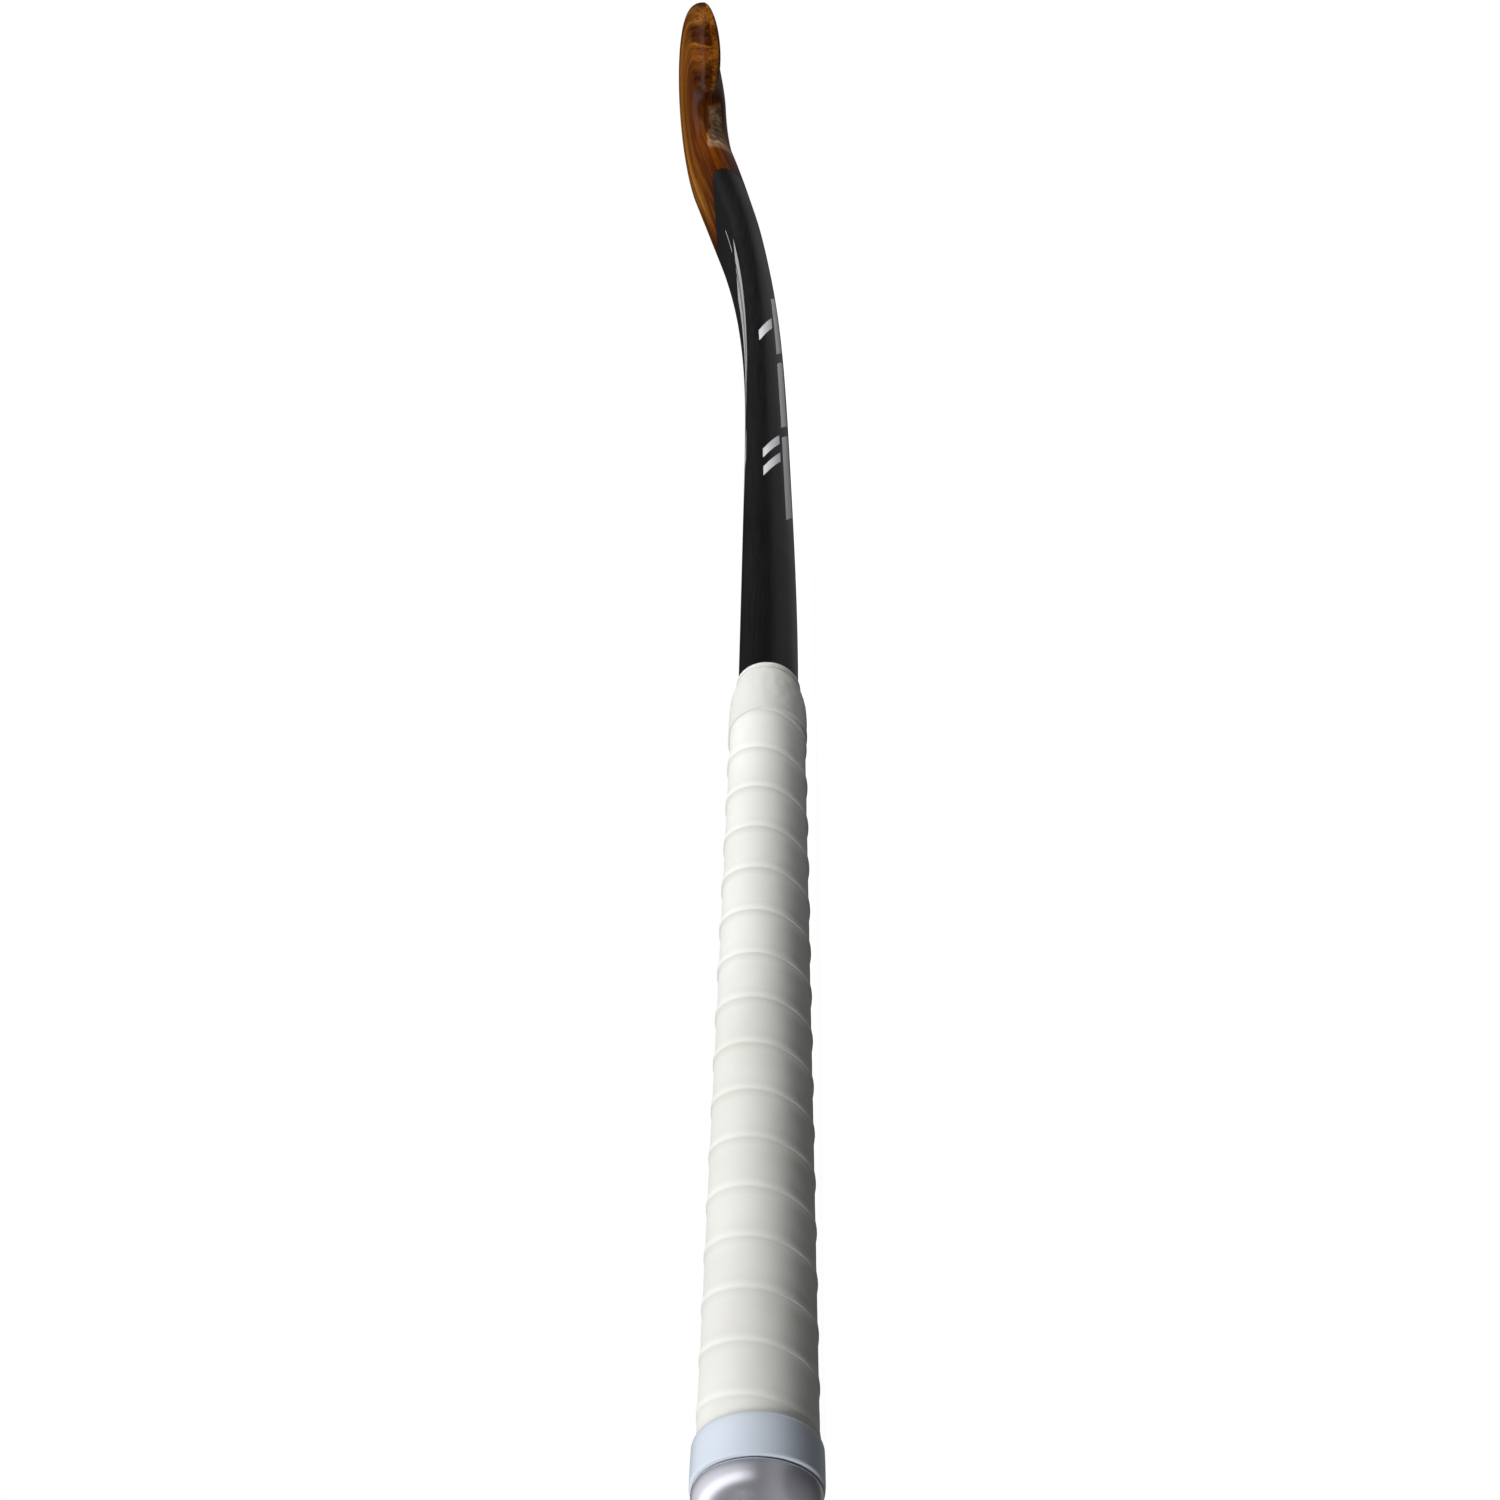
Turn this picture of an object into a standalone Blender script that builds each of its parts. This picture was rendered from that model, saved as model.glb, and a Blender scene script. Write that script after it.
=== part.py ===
"""Indoor hockey stick, lying on its back with the playing face up.

+X runs from the butt to the head, +Z points out of the playing face and the toe points to -Y. The origin is on
the floor, under the middle of the stick's box. All sizes are in metres. Positions along the stick are measured
from the butt end, and round the hook they follow its centre line.
"""

import math

import bmesh
import bpy
from mathutils import Vector

# Clearance between glued or seated neighbours
GAP = 0.0003

# Outline of the stick
HOOK_START = 0.861
HOOK_RADIUS = 0.0355
HOOK_TURN = math.radians(154.5)
TOE_ROUND = 0.020
TOE_EDGE = 0.004
TOE_TAPER_FROM = 0.45
TOE_END = ((0.35, 1), (0.7, 0.98), (0.9, 0.88), (1, 0.6))
BUTT_WIDTH = 0.0348
HANDLE_WIDTH = 0.0300
HEAD_WIDTH = 0.0485
HANDLE_END = 0.400
HEAD_WIDTH_FROM = 0.800

# Thickness from the playing face to the rounded back
BUTT_THICKNESS = 0.0348
HANDLE_THICKNESS = 0.0256
WAIST_THICKNESS = 0.0180
WAIST = 0.733
HEAD_THICKNESS = 0.0225
TOE_THICKNESS = 0.0126

# Rounding of the face's long edges
BUTT_EDGE = 0.0171
HANDLE_EDGE = 0.0120
HEAD_EDGE = 0.0065
HEAD_EDGE_FROM = 0.700

# Bow: the head curves up towards the face, and is straight beyond the bow's end
BOW_START = 0.562
BOW_END = 0.792
BOW_RISE = 0.0166
BOW_POWER = 3.2

# Black fibre sleeve, flush with the wood
SLEEVE_WALL = 0.0010
SLEEVE_START = 0.340
SLEEVE_CUT = 0.8075
SLEEVE_SLANT = 0.50
SLANT_FADE = 0.050

# Laminated head and the V splice with the handle's canes
PLY_COUNT = 8
SPLICE_TIP = 0.640
SPLICE_LENGTH = 0.080
SPLICE_BASE = 0.520
SPLICE_END = 0.660
SPLICE_GAP = 0.0013
RUBBER_THICKNESS = 0.0015
RUBBER_SHARE = 1/3

# Grip, in layers over the handle
UNDERLAY_THICKNESS = 0.0008
WRAP_THICKNESS = 0.0011
OVERLAP_HEIGHT = 0.0004
OVERLAP_PHASES = ((0.0, 0), (0.03, OVERLAP_HEIGHT), (0.15, OVERLAP_HEIGHT), (0.19, 0))
WRAP_END = 0.372
FIRST_SEAM = 0.0381
BUTT_PITCH = 0.0199
PITCH_GROWTH = 0.000287
COLLAR_END = 0.4016
COLLAR_BULGE_AT = 0.0020
COLLAR_BULGE = 0.0032
COLLAR_CONE = ((0.4, 0.0024), (0.8, 0.0011))
COLLAR_LIP = 0.0007

# Butt end
CAP_LENGTH = 0.0158
CAP_OVERHANG = 0.0034
CAP_SKIRT = 0.0007
DOME_FULLNESS = 0.7
BOSS_RADIUS = 0.0025
BOSS_HEIGHT = 0.0008
BOSS_TOP = 0.7
FLANGE_THICKNESS = 0.0030
FLANGE_RADIUS = 0.0160
STEM_RADIUS = 0.0045
STEM_END = 0.0450
BAND_END = 0.0312
BAND_THICKNESS = 0.0006
GROOVE_WIDTH = 0.0008

# Facets
EDGE_STEPS = 6
BACK_STEPS = 14
HOOK_STEPS = 16
STATION_STEP = 0.020
CAP_STEPS = 6

HOOK_END = HOOK_START + HOOK_RADIUS*HOOK_TURN
CORE_START = CAP_LENGTH + GAP + FLANGE_THICKNESS + GAP
SLEEVE_INSET = SLEEVE_WALL + GAP
UNDERLAY_OUT = GAP + UNDERLAY_THICKNESS
WRAP_IN = UNDERLAY_OUT + GAP
WRAP_OUT = WRAP_IN + WRAP_THICKNESS
BAND_IN = WRAP_OUT + OVERLAP_HEIGHT + GAP
RING_COUNT = 2*(EDGE_STEPS + 1) + BACK_STEPS - 1


def mix(a, b, share):
    return a + (b - a)*share


def linear(low, high, value):
    return min(max((value - low)/(high - low), 0.0), 1.0)


def ease(low, high, value):
    share = linear(low, high, value)
    return share*share*(3 - 2*share)


def width(s):
    handle = mix(BUTT_WIDTH, HANDLE_WIDTH, linear(0, HANDLE_END, s))
    return mix(handle, HEAD_WIDTH, ease(HANDLE_END, HEAD_WIDTH_FROM, s))


def thickness(s):
    handle = mix(BUTT_THICKNESS, HANDLE_THICKNESS, linear(0, HANDLE_END, s))
    waist = mix(handle, WAIST_THICKNESS, ease(HANDLE_END, WAIST, s))
    head = mix(waist, HEAD_THICKNESS, ease(WAIST, HOOK_START, s))
    toe_from = mix(HOOK_START, HOOK_END, TOE_TAPER_FROM)
    return mix(head, TOE_THICKNESS, ease(toe_from, HOOK_END + TOE_ROUND/2, s))


def edge_radius(s):
    handle = mix(BUTT_EDGE, HANDLE_EDGE, linear(0, HANDLE_END, s))
    return mix(handle, HEAD_EDGE, ease(HANDLE_END, HEAD_EDGE_FROM, s))


def face_height(s):
    """Height of the playing face over the handle's axis, before the bow lifts it."""
    return mix(BUTT_THICKNESS, HANDLE_THICKNESS, linear(0, HANDLE_END, s))/2


def bow(x):
    """Lift of the section at a distance x from the butt: a power curve, then its tangent."""
    length = BOW_END - BOW_START
    curve = BOW_RISE*linear(BOW_START, BOW_END, x)**BOW_POWER
    slope = BOW_RISE*BOW_POWER/length
    return curve + slope*max(x - BOW_END, 0)


def place(s, u, z):
    """Point at s along the centre line, u towards the toe's side and z above the handle's axis."""
    turn = min(max((s - HOOK_START)/HOOK_RADIUS, 0), HOOK_TURN)
    past = max(s - HOOK_END, 0)
    arm = HOOK_RADIUS - u
    x = min(s, HOOK_START) + arm*math.sin(turn) + past*math.cos(turn)
    toe = HOOK_RADIUS - arm*math.cos(turn) + past*math.sin(turn)
    return Vector((x, -toe, z + bow(x)))


def shoulder(s):
    """Height where the section is widest."""
    return face_height(s) - edge_radius(s)


def top_height(s, inset, u):
    radius = edge_radius(s) - inset
    over = max(abs(u) - (width(s)/2 - edge_radius(s)), 0)
    return shoulder(s) + math.sqrt(max(radius**2 - over**2, 0))


def back_height(s, inset, u):
    half = width(s)/2 - inset
    drop = thickness(s) - edge_radius(s) - inset
    return shoulder(s) - drop*math.sqrt(max(1 - (u/half)**2, 0))


def outline(s, inset):
    """The whole section, as (u, z): two rounded face edges, then a half ellipse for the back."""
    half = width(s)/2 - inset
    radius = edge_radius(s) - inset
    flat = half - radius
    drop = thickness(s) - edge_radius(s) - inset
    points = []
    for k in range(EDGE_STEPS + 1):
        angle = math.pi/2*k/EDGE_STEPS
        points.append((flat + radius*math.cos(angle), shoulder(s) + radius*math.sin(angle)))
    for k in range(EDGE_STEPS + 1):
        angle = math.pi/2*k/EDGE_STEPS
        points.append((-flat - radius*math.sin(angle), shoulder(s) + radius*math.cos(angle)))
    for k in range(1, BACK_STEPS):
        angle = math.pi*(1 + k/BACK_STEPS)
        points.append((half*math.cos(angle), shoulder(s) + drop*math.sin(angle)))
    return points


# Stations: each gives a position along the stick for a share of the half width, -1 at the heel's side and +1 at
# the toe's side
def level(s):
    """A station square across the stick, skewed near the sleeve's slanted end."""
    skew = max(1 - abs(SLEEVE_CUT - s)/SLANT_FADE, 0)*SLEEVE_SLANT*HEAD_WIDTH/2
    return lambda share: s + skew*share


def toe_station(q):
    return lambda share: HOOK_END + q*mix(TOE_EDGE, TOE_ROUND, math.sqrt(max(1 - share**2, 0)))


def splice_line(share):
    return SPLICE_TIP - SPLICE_LENGTH*abs(share)


def head_splice_station(q):
    return lambda share: mix(splice_line(share), SPLICE_END, q)


def handle_splice_station(q):
    return lambda share: mix(SPLICE_BASE, splice_line(share) - SPLICE_GAP, q)


def spaced(start, end):
    """Positions from start to just short of end: a station step apart on the straight, and closer in the hook."""
    bend = min(max(start, HOOK_START), end)
    positions = []
    for low, high, step in ((start, bend, STATION_STEP), (bend, end, HOOK_RADIUS*HOOK_TURN/HOOK_STEPS)):
        count = max(round((high - low)/step), 1) if high > low else 0
        positions += [mix(low, high, k/count) for k in range(count)]
    return positions


def settle(where, share, lateral):
    """Position and u of a point whose station and half width depend on each other."""
    for _ in range(4):
        s = where(share)
        u = lateral(s)
        share = u/(width(s)/2)
    return s, u


def strip_ring(station, low, high, steps):
    """Outline of a lengthwise strip of the section. Each limit is a share of the half width and a shift."""
    where, inset, pinch = station
    upper = []
    lower = []
    for k in range(steps + 1):
        def lateral(s):
            half = width(s)/2
            room = half - inset
            ends = []
            for limit, shift in (low, high):
                u = limit*half + shift if abs(limit) < 1 else limit*room
                ends.append(math.asin(u/room))
            return room*math.sin(mix(ends[0], ends[1], k/steps))

        s, u = settle(where, mix(low[0], high[0], k/steps), lateral)
        middle = face_height(s) - thickness(s)/2
        top = middle + (top_height(s, inset, u) - middle)*pinch
        back = middle + (back_height(s, inset, u) - middle)*pinch
        upper.append(place(s, u, top))
        lower.append(place(s, u, back))
    return upper + lower[::-1]


def outline_ring(where, inset):
    """The whole section at a station, skewed with it."""
    points = []
    for index in range(RING_COUNT):
        def lateral(s):
            return outline(s, inset)[index][0]

        s, u = settle(where, 0, lateral)
        points.append(place(s, u, outline(s, inset)[index][1]))
    return points


def round_ring(s, offset, scale=1.0):
    """A closed ring round the straight handle, offset outwards and then scaled towards the axis."""
    return [place(s, u*scale, z*scale) for u, z in outline(s, -offset)]


def material(name, color, roughness, metallic=0.0):
    made = bpy.data.materials.new(name)
    made.use_nodes = True
    shader = made.node_tree.nodes["Principled BSDF"]
    shader.inputs["Base Color"].default_value = (*color, 1.0)
    shader.inputs["Roughness"].default_value = roughness
    shader.inputs["Metallic"].default_value = metallic
    return made


def finish(bm, name, look):
    bmesh.ops.remove_doubles(bm, verts=bm.verts[:], dist=1e-6)
    bmesh.ops.recalc_face_normals(bm, faces=bm.faces[:])
    mesh = bpy.data.meshes.new(name)
    bm.to_mesh(mesh)
    bm.free()
    mesh.materials.append(look)
    mesh.shade_smooth()
    mesh.set_sharp_from_angle(angle=math.radians(35))
    made = bpy.data.objects.new(name, mesh)
    bpy.context.scene.collection.objects.link(made)
    return made


def skin(bm, rings):
    """Faces between neighbouring rings; gives the rings' vertices back."""
    rows = [[bm.verts.new(point) for point in ring] for ring in rings]
    for row, following in zip(rows, rows[1:]):
        for i in range(len(row)):
            bm.faces.new((row[i - 1], row[i], following[i], following[i - 1]))
    return rows


def strip(name, stations, low, high, steps, look):
    """A solid strip, closed at both ends with a ladder of faces between its top and its back."""
    bm = bmesh.new()
    rows = skin(bm, [strip_ring(station, low, high, steps) for station in stations])
    for row in (rows[0], rows[-1]):
        for k in range(steps):
            bm.faces.new((row[k], row[k + 1], row[-2 - k], row[-1 - k]))
    return finish(bm, name, look)


def tube(name, outer, inner, look):
    """A shell between outer and inner rings, closed by a rim at each end."""
    bm = bmesh.new()
    outside = skin(bm, outer)
    inside = skin(bm, inner)
    for end in (0, -1):
        for i in range(RING_COUNT):
            bm.faces.new((outside[end][i - 1], outside[end][i], inside[end][i], inside[end][i - 1]))
    return finish(bm, name, look)


def head_plies(look):
    """Wood plies bent round the hook, rebated under the sleeve and cut to a V at the splice."""
    stations = [(head_splice_station(q/3), SLEEVE_INSET, 1) for q in range(3)]
    stations += [(level(s), SLEEVE_INSET, 1) for s in spaced(SPLICE_END, SLEEVE_CUT)]
    stations += [(level(SLEEVE_CUT + GAP), SLEEVE_INSET, 1)]
    stations += [(level(s), 0, 1) for s in spaced(SLEEVE_CUT + 2*GAP, HOOK_END) + [HOOK_END]]
    stations += [(toe_station(q), 0, pinch) for q, pinch in TOE_END]
    edges = [mix(-1, 1, k/PLY_COUNT) for k in range(PLY_COUNT + 1)]
    for k in range(PLY_COUNT):
        steps = 5 if k in (0, PLY_COUNT - 1) else 2
        strip(f"head_ply_{k + 1}", stations, (edges[k], GAP/2), (edges[k + 1], -GAP/2), steps, look)


def handle_stations():
    """Stations of the canes and rubbers, from the butt plug to the splice."""
    stations = [(level(CORE_START), 0, 1), (level(SLEEVE_START - 2*GAP), 0, 1)]
    stations += [(level(SLEEVE_START - GAP), SLEEVE_INSET, 1)]
    stations += [(level(s), SLEEVE_INSET, 1) for s in spaced(HANDLE_END, SPLICE_BASE)]
    stations += [(handle_splice_station(q/4), SLEEVE_INSET, 1) for q in range(5)]
    return stations


def handle_core(cane, rubber):
    """Three canes with two rubber strips between them, ending in the splice's wedge."""
    stations = handle_stations()
    side = RUBBER_THICKNESS/2
    strip("core_cane_heel", stations, (-1, 0), (-RUBBER_SHARE, -side - GAP), 5, cane)
    strip("core_rubber_heel", stations, (-RUBBER_SHARE, -side), (-RUBBER_SHARE, side), 1, rubber)
    middle = strip("core_cane_middle", stations, (-RUBBER_SHARE, side + GAP), (RUBBER_SHARE, -side - GAP), 4, cane)
    strip("core_rubber_toe", stations, (RUBBER_SHARE, -side), (RUBBER_SHARE, side), 1, rubber)
    strip("core_cane_toe", stations, (RUBBER_SHARE, side + GAP), (1, 0), 5, cane)
    cutter = turned("plug_bore", [(CORE_START - GAP, 0), (CORE_START - GAP, STEM_RADIUS + GAP),
                                  (STEM_END + GAP, STEM_RADIUS + GAP), (STEM_END + GAP, 0)], cane)
    cutter.hide_render = True
    cutter.display_type = "WIRE"
    bore = middle.modifiers.new("bore", "BOOLEAN")
    bore.operation = "DIFFERENCE"
    bore.object = cutter


def shaft_sleeve(look):
    """Black fibre sleeve, square at its hidden upper end and slanted above the head."""
    positions = [SLEEVE_START] + spaced(HANDLE_END, SPLICE_BASE) + spaced(SPLICE_BASE, SPLICE_END)
    positions += spaced(SPLICE_END, SLEEVE_CUT) + [SLEEVE_CUT]
    outer = [outline_ring(level(s), 0) for s in positions]
    inner = [outline_ring(level(s), SLEEVE_WALL) for s in positions]
    tube("shaft_sleeve", outer, inner, look)


def turned(name, profile, look):
    """A piece turned about the handle's axis from (along, radius) points that start and end on the axis."""
    bm = bmesh.new()
    verts = [bm.verts.new((along, 0, radius)) for along, radius in profile]
    edges = [bm.edges.new(pair) for pair in zip(verts, verts[1:])]
    bmesh.ops.spin(bm, geom=verts + edges, cent=(0, 0, 0), axis=(1, 0, 0), angle=2*math.pi,
                   steps=RING_COUNT + 1, use_merge=True)
    return finish(bm, name, look)


def butt_end(cap, plug, band):
    """Domed cap with a small boss, its plug, and the band that covers the start of the grip."""
    dome_start = BOSS_HEIGHT
    groove_start = CAP_LENGTH - GROOVE_WIDTH
    rings = []
    for k in range(1, CAP_STEPS + 1):
        angle = math.pi/2*k/CAP_STEPS
        along = mix(dome_start, groove_start - CAP_SKIRT, 1 - math.cos(angle))
        rings.append(round_ring(along, CAP_OVERHANG, math.sin(angle)**DOME_FULLNESS))
    rings.append(round_ring(groove_start, CAP_OVERHANG))
    rings.append(round_ring(CAP_LENGTH, CAP_OVERHANG - GROOVE_WIDTH))
    boss_share = BOSS_RADIUS/(BUTT_WIDTH/2 + CAP_OVERHANG)
    boss = [round_ring(0, CAP_OVERHANG, boss_share*BOSS_TOP), round_ring(dome_start/2, CAP_OVERHANG, boss_share),
            round_ring(dome_start, CAP_OVERHANG, boss_share)]
    bm = bmesh.new()
    rows = skin(bm, boss + rings)
    bm.faces.new(rows[0])
    bm.faces.new(rows[-1])
    finish(bm, "butt_cap", cap)

    flange = CAP_LENGTH + GAP
    turned("butt_plug", [(flange, 0), (flange, FLANGE_RADIUS), (flange + FLANGE_THICKNESS, FLANGE_RADIUS),
                         (flange + FLANGE_THICKNESS, STEM_RADIUS), (STEM_END - GAP, STEM_RADIUS),
                         (STEM_END, STEM_RADIUS - GAP), (STEM_END, 0)], plug)

    start = CAP_LENGTH + GAP
    outside = BAND_IN + BAND_THICKNESS
    outer = [round_ring(start, outside - GROOVE_WIDTH/2), round_ring(start + GROOVE_WIDTH, outside),
             round_ring(BAND_END - GAP, outside), round_ring(BAND_END, outside - GAP)]
    inner = [round_ring(start, BAND_IN), round_ring(start + GROOVE_WIDTH, BAND_IN),
             round_ring(BAND_END - GAP, BAND_IN), round_ring(BAND_END, BAND_IN)]
    tube("end_band", outer, inner, band)


def seam_position(turns):
    """Where the wound tape's seam crosses the toe's side, after so many turns from the first seam."""
    return FIRST_SEAM + BUTT_PITCH*turns + PITCH_GROWTH*turns*turns/2


def grip(tape, foam):
    """Foam underlay, and the wound tape whose edge overlaps in a raised rib at each turn."""
    ends = (CORE_START, WRAP_END - GAP)
    tube("grip_underlay", [round_ring(s, UNDERLAY_OUT) for s in ends], [round_ring(s, GAP) for s in ends], foam)

    first = -2
    last = first
    while seam_position(last) < WRAP_END:
        last += 1
    bm = bmesh.new()
    rows = []
    for turn in range(first, last + 1):
        for phase, rib in OVERLAP_PHASES:
            row = []
            for i in range(RING_COUNT):
                s = seam_position(turn + phase + i/RING_COUNT)
                u, z = outline(s, -WRAP_OUT - rib)[i]
                row.append(bm.verts.new(place(s, u, z)))
            rows.append(row)
    for k in range(len(rows) - 1):
        for i in range(RING_COUNT - 1):
            bm.faces.new((rows[k][i], rows[k][i + 1], rows[k + 1][i + 1], rows[k + 1][i]))
        if k + 1 + len(OVERLAP_PHASES) < len(rows):
            across = k + len(OVERLAP_PHASES)
            bm.faces.new((rows[k][-1], rows[across][0], rows[across + 1][0], rows[k + 1][-1]))
    for at, side in ((CORE_START, -1), (WRAP_END, 1)):
        bmesh.ops.bisect_plane(bm, geom=bm.verts[:] + bm.edges[:] + bm.faces[:], dist=1e-7, plane_co=(at, 0, 0),
                               plane_no=(side, 0, 0), clear_outer=True)
    rims = {}
    for at in (CORE_START, WRAP_END):
        rims[at] = [e for e in bm.edges if e.is_boundary and abs(e.verts[0].co.x - at) < 1e-5]
    inside = skin(bm, [round_ring(CORE_START, WRAP_IN), round_ring(WRAP_END, WRAP_IN)])
    for at, row in zip((CORE_START, WRAP_END), inside):
        rim = [bm.edges.get((row[i - 1], row[i])) for i in range(RING_COUNT)]
        bmesh.ops.triangle_fill(bm, use_beauty=True, edges=rims[at] + rim, normal=(1, 0, 0))
    finish(bm, "grip_wrap", tape)

    start = WRAP_END + GAP
    shape = [(start, WRAP_OUT), (start + COLLAR_BULGE_AT, COLLAR_BULGE)]
    shape += [(mix(start, COLLAR_END, share), offset) for share, offset in COLLAR_CONE]
    shape += [(COLLAR_END - GAP, COLLAR_LIP), (COLLAR_END, COLLAR_LIP - GAP/2)]
    tube("grip_top_tape", [round_ring(s, offset) for s, offset in shape], [round_ring(s, GAP) for s, _ in shape], tape)


def stand_on_floor():
    """Moves the stick so that the origin is on the floor, under the middle of its box."""
    solids = [made for made in bpy.context.scene.objects if not made.hide_render]
    points = [vert.co for made in solids for vert in made.data.vertices]
    low = Vector([min(point[axis] for point in points) for axis in range(3)])
    high = Vector([max(point[axis] for point in points) for axis in range(3)])
    for made in bpy.context.scene.objects:
        made.location = (-(low.x + high.x)/2, -(low.y + high.y)/2, -low.z)


def build():
    for old in list(bpy.data.objects):
        bpy.data.objects.remove(old)
    wood = material("lacquered_wood", (0.19, 0.075, 0.012), 0.25)
    cane = material("cane", (0.55, 0.36, 0.16), 0.6)
    rubber = material("core_rubber", (0.02, 0.02, 0.02), 0.8)
    fibre = material("black_fibre", (0.007, 0.007, 0.007), 0.45)
    tape = material("white_tape", (0.80, 0.80, 0.76), 0.6)
    foam = material("foam", (0.55, 0.55, 0.52), 0.9)
    ice = material("ice_blue_band", (0.56, 0.62, 0.72), 0.35)
    grey = material("grey_cap", (0.33, 0.33, 0.40), 0.2)
    plug = material("plug", (0.25, 0.25, 0.27), 0.5)
    head_plies(wood)
    handle_core(cane, rubber)
    shaft_sleeve(fibre)
    butt_end(grey, plug, ice)
    grip(tape, foam)
    stand_on_floor()


build()
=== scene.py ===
import math

import bmesh
import bpy
from mathutils import Matrix, Vector, noise


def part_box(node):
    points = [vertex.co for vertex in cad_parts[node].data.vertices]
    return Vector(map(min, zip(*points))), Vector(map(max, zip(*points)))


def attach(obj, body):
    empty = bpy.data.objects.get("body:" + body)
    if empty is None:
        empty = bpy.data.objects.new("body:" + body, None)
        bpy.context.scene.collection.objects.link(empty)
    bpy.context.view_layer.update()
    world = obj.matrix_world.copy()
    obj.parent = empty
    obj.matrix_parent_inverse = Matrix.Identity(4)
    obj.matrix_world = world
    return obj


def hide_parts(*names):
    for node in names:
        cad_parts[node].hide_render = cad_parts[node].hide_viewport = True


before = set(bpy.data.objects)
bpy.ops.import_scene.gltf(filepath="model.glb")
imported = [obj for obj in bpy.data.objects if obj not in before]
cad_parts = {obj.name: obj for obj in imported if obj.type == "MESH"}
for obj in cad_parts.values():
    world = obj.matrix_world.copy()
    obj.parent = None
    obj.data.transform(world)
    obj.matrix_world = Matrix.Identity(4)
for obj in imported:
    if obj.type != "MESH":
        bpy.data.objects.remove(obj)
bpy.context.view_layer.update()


# Handle core: three strips of raw cane with two thin strips of matt rubber glued between them, which take the
# sting out of a hit. They lie hidden in the sleeve and the grip, so the solids themselves stay.
CLOUD_SCALE = 28.0


def add(tree, kind, sockets=None, **settings):
    """A new node. A socket's value is a plain one or another node's output."""
    made = tree.nodes.new(kind)
    for name, value in settings.items():
        setattr(made, name, value)
    for name, value in (sockets or {}).items():
        if isinstance(value, bpy.types.NodeSocket):
            tree.links.new(value, made.inputs[name])
        else:
            made.inputs[name].default_value = value
    return made


def maths(tree, operation, a, b=0.0, c=0.0, clamp=False):
    return add(tree, "ShaderNodeMath", {0: a, 1: b, 2: c}, operation=operation, use_clamp=clamp).outputs[0]


def folded(tree, operation, mask, *others):
    """One mask out of several, with the same operation between each two."""
    for other in others:
        mask = maths(tree, operation, mask, other)
    return mask


def colours(tree, factor, a, b, mode="MIX"):
    """Two colours mixed. Sockets 6 and 7 are the node's colours A and B, and output 2 is the mixed colour."""
    return add(tree, "ShaderNodeMix", {0: factor, 6: a, 7: b}, data_type="RGBA", blend_type=mode).outputs[2]


def ranged(tree, value, low, high, to_low=0.0, to_high=1.0):
    return add(tree, "ShaderNodeMapRange", {"Value": value, "From Min": low, "From Max": high,
                                            "To Min": to_low, "To Max": to_high}).outputs["Result"]


def ramp(tree, value, *stops):
    made = add(tree, "ShaderNodeValToRGB", {"Fac": value})
    points = made.color_ramp.elements
    while len(points) < len(stops):
        points.new(1.0)
    for point, (position, colour) in zip(points, stops):
        point.position = position
        point.color = (*colour, 1.0)
    return made.outputs["Color"]


def grey(value):
    return (value, value, value)


def parts_of(tree, vector):
    """The X, Y and Z of a vector socket."""
    return add(tree, "ShaderNodeSeparateXYZ", {0: vector}).outputs


def object_place(tree):
    return add(tree, "ShaderNodeTexCoord").outputs["Object"]


def group(name, inputs, outputs):
    """A node group with named inputs and outputs, and its two end nodes."""
    made = bpy.data.node_groups.new(name, "ShaderNodeTree")
    for label, kind, value in inputs:
        socket = made.interface.new_socket(label, in_out="INPUT", socket_type=kind)
        if value is not None:
            socket.default_value = value
    for label, kind in outputs:
        made.interface.new_socket(label, in_out="OUTPUT", socket_type=kind)
    return made, add(made, "NodeGroupInput").outputs, add(made, "NodeGroupOutput").inputs


def placed(tree, shared, **sockets):
    """A shared group in a material; the sockets' names have an underscore for a space."""
    made = tree.nodes.new("ShaderNodeGroup")
    made.node_tree = shared
    for name, value in sockets.items():
        socket = made.inputs[name.replace("_", " ")]
        if isinstance(value, bpy.types.NodeSocket):
            tree.links.new(value, socket)
        else:
            socket.default_value = value
    return made.outputs


def finish(name, **sockets):
    """A material with one Principled shader, whose constant sockets are set here."""
    made = bpy.data.materials.new(name)
    made.use_nodes = True
    shader = made.node_tree.nodes["Principled BSDF"]
    for label, value in sockets.items():
        shader.inputs[label.replace("_", " ")].default_value = value
    return made, made.node_tree, shader


def wire(tree, shader, colour, roughness, height, distance, strength=1.0):
    """Colour, roughness and bump height into the shader."""
    tree.links.new(colour, shader.inputs["Base Color"])
    tree.links.new(roughness, shader.inputs["Roughness"])
    bump = add(tree, "ShaderNodeBump", {"Height": height, "Strength": strength, "Distance": distance})
    tree.links.new(bump.outputs["Normal"], shader.inputs["Normal"])


def dress(look, *names):
    """A material for solids that stay as they are."""
    for name in names:
        slots = bpy.data.objects[name].data.materials
        slots.clear()
        slots.append(look)


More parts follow.
